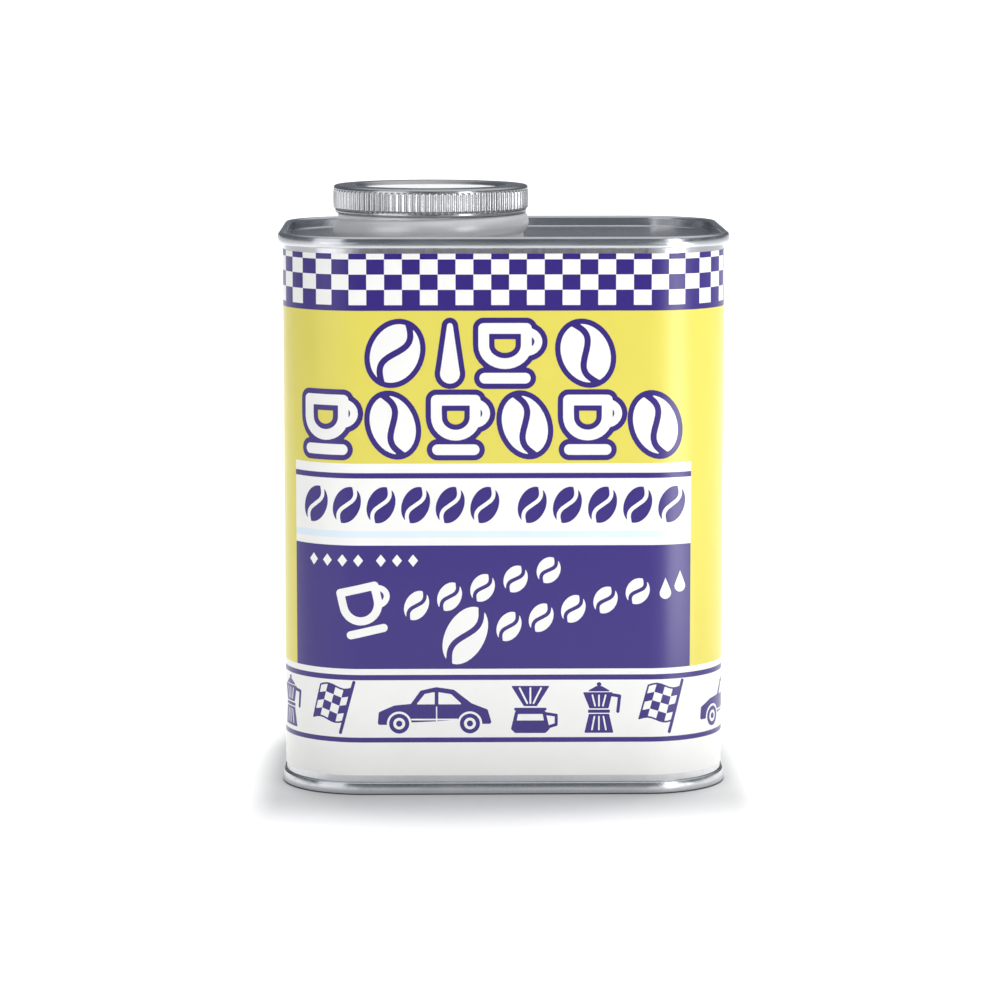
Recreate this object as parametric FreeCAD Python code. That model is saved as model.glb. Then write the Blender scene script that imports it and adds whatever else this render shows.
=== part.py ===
import FreeCAD, Part
import math
import os

# Oblong coffee tin with double-seamed ends and an offset screw cap.
#
# Millimetres. The origin is on the supporting surface, under the middle of the tin. +X is across the
# front panel, +Y runs from the front panel to the back one, and +Z is up.
# The body is a rounded rectangle in plan. Sections of the body, the ends and their seams are drawn
# beside the right-hand wall, where x is the distance outward from the wall's outer face, and are then
# carried round the tin. Sections of the neck, the cap and its liner are turned about the cap's axis.

# Body, in plan
LABEL_WIDTH = 108.0
LABEL_DEPTH = 82.65
LABEL_CORNER = 19.73
LABEL_THICKNESS = 0.15
SHEET = 0.25

WIDTH = LABEL_WIDTH - 2 * LABEL_THICKNESS
DEPTH = LABEL_DEPTH - 2 * LABEL_THICKNESS
CORNER = LABEL_CORNER - LABEL_THICKNESS

# Heights of the body
RIM_TOP = 135.92
LABEL_BOTTOM = 4.67
LABEL_TOP = 131.85
LABEL_LAP = 8.0

# Double seams: how far each stands out from the body wall, and how tall it is
TOP_SEAM_PROUD = 1.39
TOP_SEAM_HEIGHT = 2.97
TOP_RECESS = 2.77
TOP_ARCH_RADIUS = 0.6
BOTTOM_SEAM_PROUD = 0.95
BOTTOM_SEAM_HEIGHT = 3.1
BOTTOM_RECESS = 3.3
BOTTOM_ARCH_RADIUS = 0.45
HOOK_LENGTH = 0.95
COMPOUND = 0.2
COUNTERSINK_RADIUS = 0.6

# Step bead pressed into the bottom end
BEAD_INSET = 9.0
BEAD_RADIUS = 1.0
BEAD_ANGLE = 40.0

# Welded lap inside the body's back wall
WELD_LAP = 1.2
WELD_ENDS = 5.0

# Neck
CAP_X = -17.85
NECK_THREAD_ROOT = 22.1
NECK_WAIST = 23.2
COLLAR_HEIGHT = 4.6
COLLAR_BULGE = 1.0
COLLAR_FILLET = 0.5
SHOULDER_Z = 139.0
LIP_RADIUS = 0.75
NECK_FLANGE_REACH = 2.6
GASKET = 0.3
HOLE_CLEARANCE = 0.05

# Thread
THREAD_PITCH = 25.4 / 6
NECK_THREAD_HEIGHT = 0.65
CAP_THREAD_HEIGHT = 1.1
THREAD_ROOT_WIDTH = 1.2
THREAD_CREST_WIDTH = 0.5
THREAD_BITE = 0.12
NECK_THREAD_TURNS = 0.6
CAP_THREAD_TURNS = 0.52
NECK_THREAD_START = 140.3
CAP_THREAD_LIFT = 0.3

# Cap
CAP_TOP = 146.3
CAP_RADIUS = 24.33
CAP_BOTTOM = 139.5
CAP_SKIRT_RADIUS = 23.9
CAP_BORE = 23.5
CAP_PANEL_RADIUS = 18.3
CAP_PANEL_DROP = 0.95
CAP_EDGE_RADIUS = 0.8
CAP_SHEET = 0.28
KNURL_BOTTOM = 140.65
KNURL_TOP = 145.2
KNURL_COUNT = 96
KNURL_RADIUS = 0.42
KNURL_DEPTH = 0.33
HEM_RADIUS = 0.3

# Liner: a pulpboard wad with a thin facing
LINER_RADIUS = 22.9
LINER_THICKNESS = 1.1
FACING_THICKNESS = 0.15
CAP_GAP = 0.05

# Heights that follow from the ones above
PANEL_TOP = RIM_TOP - TOP_RECESS
LINER_TOP = CAP_TOP - CAP_PANEL_DROP - CAP_SHEET - CAP_GAP
LINER_BOTTOM = LINER_TOP - LINER_THICKNESS
LIP_TOP = LINER_BOTTOM - FACING_THICKNESS - CAP_GAP

UP = FreeCAD.Vector(0, 0, 1)
ORIGIN = FreeCAD.Vector(0, 0, 0)
CAP_AXIS = FreeCAD.Vector(CAP_X, 0, 0)


def point(x, z):
    """A point of a section, which lies in the XZ plane."""
    return FreeCAD.Vector(x, 0, z)


def line(start, end):
    return Part.makeLine(start, end)


def arc(start, middle, end):
    return Part.Arc(start, middle, end).toShape()


def polygon(points):
    """Closed outline with straight sides."""
    return Part.makePolygon([point(x, z) for x, z in points + points[:1]])


def bent_sheet(start, heading, steps, thickness=SHEET):
    """Closed outline of a bent sheet, from the middle line that the sheet follows.

    The middle line begins at start, an (x, z) pair, and heads off at an angle in degrees from +X.
    A step that is a number is a straight of that length. A step that is a pair is a bend: its radius,
    and its turn in degrees, positive to the left.
    """
    half = thickness / 2
    x, z = start
    angle = math.radians(heading)

    def offset(x, z, angle, distance):
        return point(x - distance * math.sin(angle), z + distance * math.cos(angle))

    left = []
    right = []
    for step in steps:
        if isinstance(step, tuple):
            radius, degrees = step
            side = math.copysign(radius, degrees)
            centre_x = x - side * math.sin(angle)
            centre_z = z + side * math.cos(angle)
            stations = []
            for share in (0, 0.5, 1):
                turned = angle + share * math.radians(degrees)
                stations.append((centre_x + side * math.sin(turned), centre_z - side * math.cos(turned), turned))
            left.append(arc(*[offset(*station, half) for station in stations]))
            right.append(arc(*[offset(*station, -half) for station in reversed(stations)]))
            x, z, angle = stations[-1]
        else:
            end_x = x + step * math.cos(angle)
            end_z = z + step * math.sin(angle)
            left.append(line(offset(x, z, angle, half), offset(end_x, end_z, angle, half)))
            right.append(line(offset(end_x, end_z, angle, -half), offset(x, z, angle, -half)))
            x, z = end_x, end_z
    last_cap = line(offset(x, z, angle, half), offset(x, z, angle, -half))
    first = math.radians(heading)
    first_cap = line(offset(*start, first, -half), offset(*start, first, half))
    return Part.Wire(left + [last_cap] + right[::-1] + [first_cap])


def joined(solids):
    """Touching solids as one solid with merged faces."""
    return solids[0].fuse(solids[1:]).removeSplitter()


def carried_round(section):
    """A section drawn beside the right-hand wall, carried once round the tin."""
    centre_x = WIDTH / 2 - CORNER
    centre_y = DEPTH / 2 - CORNER
    corners = (
        (centre_x, centre_y, 2 * centre_y),
        (-centre_x, centre_y, 2 * centre_x),
        (-centre_x, -centre_y, 2 * centre_y),
        (centre_x, -centre_y, 2 * centre_x),
    )
    solids = []
    for quarter, (x, y, straight) in enumerate(corners):
        face = Part.Face(section)
        face.translate(FreeCAD.Vector(CORNER, 0, 0))
        face.rotate(ORIGIN, UP, 90 * quarter)
        corner_axis = FreeCAD.Vector(x, y, 0)
        face.translate(corner_axis)
        along = math.radians(90 * (quarter + 1))
        back = FreeCAD.Vector(-math.cos(along), -math.sin(along), 0) * straight
        solids.append(face.extrude(back))
        solids.append(face.revolve(corner_axis, UP, 90))
    return joined(solids)


def rounded_plate(inset, bottom, top):
    """Flat plate with the tin's rounded outline, brought in all round by inset."""
    width = WIDTH - 2 * inset
    depth = DEPTH - 2 * inset
    plate = Part.makeBox(width, depth, top - bottom, FreeCAD.Vector(-width / 2, -depth / 2, bottom))
    upright = [edge for edge in plate.Edges if abs(edge.tangentAt(edge.FirstParameter).z) > 0.99]
    return plate.makeFillet(CORNER - inset, upright)


def turned(section):
    """A section turned about the cap's axis. Its x is the distance from that axis."""
    solid = Part.Face(section).revolve(ORIGIN, UP, 360)
    solid.translate(CAP_AXIS)
    return solid


def seam_pitch(proud):
    """Spacing of the sheet layers in a double seam whose three outer layers fill proud."""
    return proud / 3


def body_wall():
    """Body sheet with a hook turned outward and back at each end, and its welded lap."""
    bottom_bend = seam_pitch(BOTTOM_SEAM_PROUD)
    top_bend = seam_pitch(TOP_SEAM_PROUD)
    lowest = SHEET + COMPOUND + SHEET / 2 + bottom_bend
    highest = RIM_TOP - SHEET - COMPOUND - SHEET / 2 - top_bend
    hook_tip = (2 * bottom_bend - SHEET / 2, lowest + HOOK_LENGTH)
    steps = [HOOK_LENGTH, (bottom_bend, -180), highest - lowest, (top_bend, -180), HOOK_LENGTH]
    wall = carried_round(bent_sheet(hook_tip, -90, steps))
    inside = DEPTH / 2 - 2 * SHEET
    lap_height = RIM_TOP - 2 * WELD_ENDS
    lap = Part.makeBox(WELD_LAP, SHEET, lap_height, FreeCAD.Vector(-WELD_LAP / 2, inside, WELD_ENDS))
    return joined([wall, lap])


def end_panel(proud, height, recess, arch_radius, bead):
    """An end, drawn as a top end with its rim's crest at z = 0: the section's start and its ring."""
    layer = seam_pitch(proud)
    bead_straight = 0.6 if bead else 0
    bead_drop = 2 * BEAD_RADIUS * (1 - math.cos(math.radians(BEAD_ANGLE)))
    bead_drop += bead_straight * math.sin(math.radians(BEAD_ANGLE))
    bead_run = 2 * BEAD_RADIUS * math.sin(math.radians(BEAD_ANGLE))
    bead_run += bead_straight * math.cos(math.radians(BEAD_ANGLE))
    chuck_x = -1.5 * SHEET
    panel_z = -recess - SHEET / 2
    inner_x = chuck_x - COUNTERSINK_RADIUS - BEAD_INSET
    flat = BEAD_INSET
    steps = []
    if bead:
        steps = [(BEAD_RADIUS, BEAD_ANGLE), bead_straight, (BEAD_RADIUS, -BEAD_ANGLE)]
        flat = BEAD_INSET - bead_run
        panel_z -= bead_drop
    chuck_rise = recess - COUNTERSINK_RADIUS - arch_radius
    arch_flat = 3 * layer + SHEET - 2 * arch_radius
    outer_drop = height - arch_radius - layer - SHEET
    steps += [
        flat,
        (COUNTERSINK_RADIUS, 90),
        chuck_rise,
        (arch_radius, -90),
        arch_flat,
        (arch_radius, -90),
        outer_drop,
        (layer, -180),
        HOOK_LENGTH,
    ]
    ring = carried_round(bent_sheet((inner_x, panel_z), 0, steps))
    plate = rounded_plate(-inner_x, panel_z - SHEET / 2, panel_z + SHEET / 2)
    return joined([ring, plate])


def top_end():
    """Recessed top panel with a plain round hole for the neck."""
    end = end_panel(TOP_SEAM_PROUD, TOP_SEAM_HEIGHT, TOP_RECESS, TOP_ARCH_RADIUS, bead=False)
    end.translate(UP * RIM_TOP)
    hole_radius = NECK_WAIST + HOLE_CLEARANCE
    hole = Part.makeCylinder(hole_radius, 4 * SHEET, CAP_AXIS + UP * (PANEL_TOP - 2 * SHEET))
    return end.cut(hole)


def bottom_end():
    """Recessed bottom panel. The tin stands on the flat crest of its rim, at z = 0."""
    end = end_panel(BOTTOM_SEAM_PROUD, BOTTOM_SEAM_HEIGHT, BOTTOM_RECESS, BOTTOM_ARCH_RADIUS, bead=True)
    return end.mirror(ORIGIN, UP)


def seam_compound(proud, arch_radius, bottom):
    """Ring of sealing compound between the body hook and the crest of a rim."""
    layer = seam_pitch(proud)
    arch_flat = 3 * layer + SHEET - 2 * arch_radius
    middle = (3 * layer - 2 * SHEET) / 2
    left = middle - arch_flat / 2
    right = middle + arch_flat / 2
    top = bottom + COMPOUND
    return carried_round(polygon([(left, bottom), (right, bottom), (right, top), (left, top)]))


def bead_steps(height, bulge, fillet):
    """Bends that make a sheet swell to the right and come back, over the given height."""
    half_angle = 2 * math.atan(2 * bulge / height)
    degrees = math.degrees(half_angle)
    big = height / (2 * math.sin(half_angle)) - fillet
    return [(fillet, -degrees), (big, 2 * degrees), (fillet, -degrees)]


def thread(radius, outward, height, turns, start_z, start_angle):
    """Ridge that winds up a round wall, standing away from the axis or, where outward is -1, towards it."""
    root = radius - outward * THREAD_BITE
    crest = radius + outward * height
    profile = polygon([
        (root, -THREAD_ROOT_WIDTH / 2),
        (crest, -THREAD_CREST_WIDTH / 2),
        (crest, THREAD_CREST_WIDTH / 2),
        (root, THREAD_ROOT_WIDTH / 2),
    ])
    helix = Part.makeHelix(THREAD_PITCH, turns * THREAD_PITCH, radius)
    ridge = Part.Wire(helix.Edges).makePipeShell([profile], True, True)
    ridge.rotate(ORIGIN, UP, start_angle)
    ridge.translate(CAP_AXIS + UP * start_z)
    return ridge


def neck():
    """Screw neck: flange under the panel, swelling collar, waist, thread and lip curled inward."""
    base = NECK_WAIST - SHEET / 2
    root = NECK_THREAD_ROOT - SHEET / 2
    bend = 2 * SHEET
    flange_z = PANEL_TOP - SHEET - GASKET - SHEET / 2
    shoulder = (base - root) / 2
    straights = (
        NECK_FLANGE_REACH - bend,
        PANEL_TOP - flange_z - bend,
        SHOULDER_Z - PANEL_TOP - COLLAR_HEIGHT,
        LIP_TOP - SHEET / 2 - LIP_RADIUS - SHOULDER_Z - 2 * shoulder,
    )
    steps = [straights[0], (bend, -90), straights[1]]
    steps += bead_steps(COLLAR_HEIGHT, COLLAR_BULGE, COLLAR_FILLET)
    steps += [straights[2], (shoulder, 90), (shoulder, -90), straights[3], (LIP_RADIUS, 270)]
    wall = turned(bent_sheet((base + NECK_FLANGE_REACH, flange_z), 180, steps))
    ridge = thread(NECK_THREAD_ROOT, 1, NECK_THREAD_HEIGHT, NECK_THREAD_TURNS, NECK_THREAD_START, 0)
    return joined([wall, ridge])


def neck_gasket():
    """Sealing ring squeezed between the neck's flange and the top panel."""
    top = PANEL_TOP - SHEET
    inner = NECK_WAIST - SHEET / 2 + 2 * SHEET
    outer = NECK_WAIST + NECK_FLANGE_REACH - SHEET
    bottom = top - GASKET
    return turned(polygon([(inner, bottom), (outer, bottom), (outer, top), (inner, top)]))


def knurl_groove():
    """Upright groove cutter with a round top end, on the cap's +X side."""
    outline = Part.Wire([
        line(point(0, CAP_BOTTOM), point(KNURL_RADIUS, CAP_BOTTOM)),
        line(point(KNURL_RADIUS, CAP_BOTTOM), point(KNURL_RADIUS, KNURL_TOP)),
        arc(
            point(KNURL_RADIUS, KNURL_TOP),
            point(KNURL_RADIUS * math.sqrt(0.5), KNURL_TOP + KNURL_RADIUS * math.sqrt(0.5)),
            point(0, KNURL_TOP + KNURL_RADIUS),
        ),
        line(point(0, KNURL_TOP + KNURL_RADIUS), point(0, CAP_BOTTOM)),
    ])
    groove = Part.Face(outline).revolve(ORIGIN, UP, 360)
    groove.translate(FreeCAD.Vector(CAP_RADIUS - KNURL_DEPTH + KNURL_RADIUS, 0, 0))
    return groove


def cap_shell():
    """Knurled cap with a raised ring round its top panel, a hemmed edge and a thread inside."""
    panel_z = CAP_TOP - CAP_PANEL_DROP
    under_z = panel_z - CAP_SHEET
    edge = CAP_EDGE_RADIUS
    round_point = edge * (1 - math.sqrt(0.5))
    knurl_foot = CAP_RADIUS - CAP_SKIRT_RADIUS
    hem_middle = CAP_SKIRT_RADIUS - HEM_RADIUS
    outline = Part.Wire([
        line(point(0, under_z), point(0, panel_z)),
        line(point(0, panel_z), point(CAP_PANEL_RADIUS, panel_z)),
        line(point(CAP_PANEL_RADIUS, panel_z), point(CAP_PANEL_RADIUS + CAP_PANEL_DROP / 2, CAP_TOP)),
        line(point(CAP_PANEL_RADIUS + CAP_PANEL_DROP / 2, CAP_TOP), point(CAP_RADIUS - edge, CAP_TOP)),
        arc(
            point(CAP_RADIUS - edge, CAP_TOP),
            point(CAP_RADIUS - round_point, CAP_TOP - round_point),
            point(CAP_RADIUS, CAP_TOP - edge),
        ),
        line(point(CAP_RADIUS, CAP_TOP - edge), point(CAP_RADIUS, KNURL_BOTTOM + knurl_foot)),
        line(point(CAP_RADIUS, KNURL_BOTTOM + knurl_foot), point(CAP_SKIRT_RADIUS, KNURL_BOTTOM)),
        line(point(CAP_SKIRT_RADIUS, KNURL_BOTTOM), point(CAP_SKIRT_RADIUS, CAP_BOTTOM + HEM_RADIUS)),
        arc(
            point(CAP_SKIRT_RADIUS, CAP_BOTTOM + HEM_RADIUS),
            point(hem_middle, CAP_BOTTOM),
            point(hem_middle - HEM_RADIUS, CAP_BOTTOM + HEM_RADIUS),
        ),
        line(point(hem_middle - HEM_RADIUS, CAP_BOTTOM + HEM_RADIUS), point(CAP_BORE, CAP_BOTTOM + 2 * HEM_RADIUS)),
        line(point(CAP_BORE, CAP_BOTTOM + 2 * HEM_RADIUS), point(CAP_BORE, under_z)),
        line(point(CAP_BORE, under_z), point(0, under_z)),
    ])
    shell = Part.Face(outline).revolve(ORIGIN, UP, 360)
    grooves = []
    for number in range(KNURL_COUNT):
        groove = knurl_groove()
        groove.rotate(ORIGIN, UP, 360 / KNURL_COUNT * (number + 0.5))
        grooves.append(groove)
    shell = shell.cut(grooves)
    shell.translate(CAP_AXIS)
    start_z = NECK_THREAD_START + CAP_THREAD_LIFT
    start_angle = 180 + 360 * CAP_THREAD_LIFT / THREAD_PITCH
    return joined([shell, thread(CAP_BORE, -1, CAP_THREAD_HEIGHT, CAP_THREAD_TURNS, start_z, start_angle)])


def disc(radius, bottom, thickness):
    return Part.makeCylinder(radius, thickness, CAP_AXIS + UP * bottom)


def build():
    """Every piece of the tin, by the name of its node."""
    wrap = carried_round(polygon([
        (0, LABEL_BOTTOM),
        (LABEL_THICKNESS, LABEL_BOTTOM),
        (LABEL_THICKNESS, LABEL_TOP),
        (0, LABEL_TOP),
    ]))
    lap_corner = FreeCAD.Vector(-LABEL_LAP / 2, LABEL_DEPTH / 2, LABEL_BOTTOM)
    lap = Part.makeBox(LABEL_LAP, LABEL_THICKNESS, LABEL_TOP - LABEL_BOTTOM, lap_corner)
    return {
        "body_wall": body_wall(),
        "top_end": top_end(),
        "bottom_end": bottom_end(),
        "top_seam_compound": seam_compound(TOP_SEAM_PROUD, TOP_ARCH_RADIUS, RIM_TOP - SHEET - COMPOUND),
        "bottom_seam_compound": seam_compound(BOTTOM_SEAM_PROUD, BOTTOM_ARCH_RADIUS, SHEET),
        "neck": neck(),
        "neck_gasket": neck_gasket(),
        "label_wrap": joined([wrap, lap]),
        "cap_shell": cap_shell(),
        "cap_liner": disc(LINER_RADIUS, LINER_BOTTOM, LINER_THICKNESS),
        "liner_facing": disc(LINER_RADIUS, LINER_BOTTOM - FACING_THICKNESS, FACING_THICKNESS),
    }


def main():
    os.makedirs("parts", exist_ok=True)
    for name, shape in build().items():
        box = shape.BoundBox
        size = f"{box.XLength:.2f} x {box.YLength:.2f} x {box.ZLength:.2f}"
        print(f"{name}: {len(shape.Solids)} solid, valid {shape.isValid()}, {shape.Volume:.1f} mm3, {size}")
        shape.exportStep(f"parts/{name}.step")


main()
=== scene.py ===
import math

import bmesh
import bpy
import numpy as np
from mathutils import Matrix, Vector, noise


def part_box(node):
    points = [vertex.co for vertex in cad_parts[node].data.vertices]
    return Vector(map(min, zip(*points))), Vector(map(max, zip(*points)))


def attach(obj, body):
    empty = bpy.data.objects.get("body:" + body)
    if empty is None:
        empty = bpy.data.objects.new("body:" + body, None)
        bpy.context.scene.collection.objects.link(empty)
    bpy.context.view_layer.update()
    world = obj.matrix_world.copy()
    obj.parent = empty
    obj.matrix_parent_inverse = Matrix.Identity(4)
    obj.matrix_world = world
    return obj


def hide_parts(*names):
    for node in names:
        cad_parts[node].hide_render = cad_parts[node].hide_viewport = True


# Looks of an oblong coffee tin with double-seamed ends, a printed wrap and an offset screw cap.
#
# The frame is in metres. Sections and the print are laid out in millimetres and scaled as a mesh is made.
# Sections of the tin's ends are drawn beside the right-hand wall, with u the distance outward from the
# wall's outer face, and are carried round the tin. The print is laid out in (s, z): s is the length along
# the wrap from the middle of the front, positive towards +X.

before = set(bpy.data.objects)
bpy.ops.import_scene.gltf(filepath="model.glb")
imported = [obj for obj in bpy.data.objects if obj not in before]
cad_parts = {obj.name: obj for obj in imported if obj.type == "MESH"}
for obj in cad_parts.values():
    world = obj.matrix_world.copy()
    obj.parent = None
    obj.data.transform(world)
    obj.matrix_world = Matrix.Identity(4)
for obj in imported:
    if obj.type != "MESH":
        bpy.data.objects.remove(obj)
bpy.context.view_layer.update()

MM = 0.001


def box_mm(node):
    """The lowest and highest corner of a CAD node, in millimetres."""
    low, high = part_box(node)
    return low / MM, high / MM


# ---- sizes, in millimetres

WRAP_LOW, WRAP_HIGH = box_mm("label_wrap")
TOP_HIGH = box_mm("top_end")[1]
BASE_LOW, BASE_HIGH = box_mm("bottom_end")
CAP_LOW, CAP_HIGH = box_mm("cap_shell")
NECK_HIGH = box_mm("neck")[1]

PAPER = 0.15
SHEET = 0.25
CORNER = 19.58
WALL_X = WRAP_HIGH.x - PAPER
WALL_Y = -WRAP_LOW.y - PAPER
FLAT_X = WALL_X - CORNER
FLAT_Y = WALL_Y - CORNER
QUARTER = math.pi / 2 * (CORNER + PAPER)
ROUND = 4 * (FLAT_X + FLAT_Y + QUARTER)
LAP = 8.0
LAP_RAMP = 2.5

CAP_X = (CAP_LOW.x + CAP_HIGH.x) / 2
CAP_RADIUS = (CAP_HIGH.x - CAP_LOW.x) / 2

TOP_PROUD = TOP_HIGH.x - WALL_X
TOP_SEAM_HEIGHT = 2.97
TOP_RECESS = 2.77
TOP_ARCH = 0.6
TOP_BOW = (11, 6)
BASE_PROUD = BASE_HIGH.x - WALL_X
BASE_SEAM_HEIGHT = 3.1
BASE_RECESS = 3.3
BASE_ARCH = 0.45
BASE_BOW = (1, 13)
HOOK = 0.95
COUNTERSINK = 0.6

THREAD_PITCH = 25.4 / 6

# ---- colours


def srgb(red, green, blue):
    """A screen colour, 0 to 255, as the linear colour that a shader takes."""
    linear = []
    for value in (red, green, blue):
        share = value / 255
        linear.append(share / 12.92 if share <= 0.04045 else ((share + 0.055) / 1.055) ** 2.4)
    return (*linear, 1)


PURPLE = srgb(40, 14, 116)
YELLOW = srgb(218, 206, 84)
WHITE = srgb(237, 236, 233)
PALE_BLUE = srgb(215, 230, 240)
TIN = srgb(206, 208, 211)

# ---- materials


class Graph:
    """The node tree of a material or of the world. Its nodes are made and linked in one call each."""

    def __init__(self, owner):
        owner.use_nodes = True
        self.nodes = owner.node_tree.nodes
        self.links = owner.node_tree.links

    def put(self, socket, value):
        """Links a socket to a node's output, or gives it a fixed value."""
        if isinstance(value, bpy.types.NodeSocket):
            self.links.new(value, socket)
        else:
            socket.default_value = value

    def add(self, kind, output, inputs, **settings):
        """One output of a new node of a kind, with its inputs by name or number, and its settings."""
        node = self.nodes.new("ShaderNode" + kind)
        for name, value in settings.items():
            setattr(node, name, value)
        for name, value in inputs.items():
            self.put(node.inputs[name], value)
        return node.outputs[output]

    def noise(self, scale, stretch, detail):
        """Noise in the object's own coordinates, drawn out along an axis where stretch is small."""
        place = self.add("TexCoord", "Object", {})
        place = self.add("Mapping", "Vector", {"Vector": place, "Scale": stretch})
        return self.add("TexNoise", "Fac", {"Vector": place, "Scale": scale, "Detail": detail})

    def spread(self, value, low, high):
        """A value that runs from low to high over the middle of a noise's range."""
        limits = {"From Min": 0.3, "From Max": 0.7, "To Min": low, "To Max": high}
        return self.add("MapRange", "Result", {"Value": value, **limits})

    def mask(self, value, reach, low=0, high=1):
        """low up to the start of the reach, high from its end on, and smooth between."""
        limits = {"From Min": reach[0], "From Max": reach[1], "To Min": low, "To Max": high}
        return self.add("MapRange", "Result", {"Value": value, **limits}, interpolation_type="SMOOTHSTEP")

    def mix(self, share, first, second):
        return self.add("Mix", "Result", {"Factor": share, "A": first, "B": second}, data_type="RGBA")

    def math(self, operation, first, second):
        return self.add("Math", 0, {0: first, 1: second}, operation=operation)

    def vector(self, operation, first, second=(0, 0, 0), output="Vector"):
        return self.add("VectorMath", output, {0: first, 1: second}, operation=operation)

    def bump(self, height, strength, distance):
        return self.add("Bump", "Normal", {"Height": height, "Strength": strength, "Distance": distance})


def new_material(name):
    """A material, its graph and its shader's inputs."""
    material = bpy.data.materials.new(name)
    graph = Graph(material)
    return material, graph, graph.nodes["Principled BSDF"].inputs


def mottled(graph, noise, colour, darkest):
    """A colour that a noise makes a little darker in places."""
    return graph.mix(graph.spread(noise, 0, 1), (*(value * darkest for value in colour[:3]), 1), colour)


def metal(name, colour, grain, rough, bump, metallic=1.0):
    """Bright tinplate: a rolled grain, and a faint mottle of the tin."""
    material, graph, shader = new_material(name)
    rolled = graph.noise(900, grain, 4.0)
    graph.put(shader["Metallic"], metallic)
    graph.put(shader["Base Color"], mottled(graph, graph.noise(160, (1, 1, 1), 2.0), colour, 0.93))
    graph.put(shader["Roughness"], graph.spread(rolled, *rough))
    graph.put(shader["Normal"], graph.bump(rolled, bump, 0.00002))
    return material


def print_ink(name, colour):
    """A solid printed colour on coated paper, with a faint unevenness of ink and a satin gloss."""
    material, graph, shader = new_material(name)
    fibre = graph.noise(4000, (1, 1, 0.5), 3.0)
    graph.put(shader["Base Color"], mottled(graph, graph.noise(120, (1, 1, 1), 2.0), colour, 0.975))
    graph.put(shader["Roughness"], graph.spread(fibre, 0.28, 0.33))
    graph.put(shader["Specular IOR Level"], 0.6)
    graph.put(shader["Normal"], graph.bump(fibre, 0.02, 0.00001))
    return material


def soft_matte(name, colour, scale, rough, bump):
    """Pulpboard, rubber compound or film: matte, with a fine uneven surface."""
    material, graph, shader = new_material(name)
    texture = graph.noise(scale, (1, 1, 1), 5.0)
    graph.put(shader["Base Color"], mottled(graph, texture, colour, 0.82))
    graph.put(shader["Roughness"], graph.spread(texture, rough - 0.08, rough + 0.08))
    graph.put(shader["Normal"], graph.bump(texture, bump, 0.00005))
    return material


TINPLATE_ENDS = metal("tinplate_ends", TIN, (0.06, 1, 1), (0.16, 0.27), 0.12)
TINPLATE_BODY = metal("tinplate_body", TIN, (1, 1, 0.06), (0.16, 0.27), 0.12)
# The neck: partly a rougher satin finish, partly painted light, its near-white, partly non-metallic colour
# lifting the collar brighter than bare tinplate
TINPLATE_NECK_SATIN_AND_PAINTED_LIGHT = metal("tinplate_neck", srgb(250, 250, 250), (1, 1, 6), (0.34, 0.42), 0.10, 0.35)
TINPLATE_CAP = metal("tinplate_cap", srgb(196, 197, 199), (1, 1, 3), (0.16, 0.25), 0.10)
# The cap's sunk top: partly a duller satin finish, partly painted light, its near-white, mostly non-metallic
# colour lifting it brighter than the cap's bare metal
CAP_FACE_SATIN_AND_PAINTED_LIGHT = metal("tinplate_cap_face", srgb(244, 244, 244), (1, 1, 1), (0.45, 0.55), 0.08, 0.12)
INKS = {
    "white": print_ink("ink_white", WHITE),
    "purple": print_ink("ink_purple", PURPLE),
    "yellow": print_ink("ink_yellow", YELLOW),
    "pale_blue": print_ink("ink_pale_blue", PALE_BLUE),
}
COMPOUND = soft_matte("sealing_compound", srgb(120, 122, 118), 900, 0.6, 0.3)
PULPBOARD = soft_matte("pulpboard", srgb(196, 180, 150), 1800, 0.85, 0.6)
FILM = soft_matte("liner_film", srgb(238, 238, 236), 500, 0.3, 0.1)

# ---- places on the tin


def on_tin(s, u):
    """The point u outside the wall's face, at s along the wrap, and the outward direction there."""
    side = 1 if s >= 0 else -1
    along = abs(s)
    if along <= FLAT_X:
        x, y, out = along, -WALL_Y, (0, -1)
    elif along <= FLAT_X + QUARTER:
        turn = (along - FLAT_X) / (CORNER + PAPER)
        out = (math.sin(turn), -math.cos(turn))
        x, y = FLAT_X + CORNER * out[0], -FLAT_Y + CORNER * out[1]
    elif along <= FLAT_X + QUARTER + 2 * FLAT_Y:
        x, y, out = WALL_X, along - FLAT_X - QUARTER - FLAT_Y, (1, 0)
    elif along <= FLAT_X + 2 * QUARTER + 2 * FLAT_Y:
        turn = (along - FLAT_X - QUARTER - 2 * FLAT_Y) / (CORNER + PAPER)
        out = (math.cos(turn), math.sin(turn))
        x, y = FLAT_X + CORNER * out[0], FLAT_Y + CORNER * out[1]
    else:
        x, y, out = ROUND / 2 - along, WALL_Y, (0, 1)
    return Vector((side * (x + u * out[0]), y + u * out[1], 0)), Vector((side * out[0], out[1], 0))


def round_stations(straight_step, corner_steps):
    """Places along the wrap, once round the tin: close together in the corners."""
    half = []
    for start, length, steps in (
        (0, FLAT_X, round(FLAT_X / straight_step)),
        (FLAT_X, QUARTER, corner_steps),
        (FLAT_X + QUARTER, 2 * FLAT_Y, round(2 * FLAT_Y / straight_step)),
        (FLAT_X + QUARTER + 2 * FLAT_Y, QUARTER, corner_steps),
        (FLAT_X + 2 * QUARTER + 2 * FLAT_Y, FLAT_X, round(FLAT_X / straight_step)),
    ):
        half += [start + length * number / steps for number in range(steps)]
    return half + [-s for s in [ROUND / 2] + half[:0:-1]]


# ---- meshes


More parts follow.
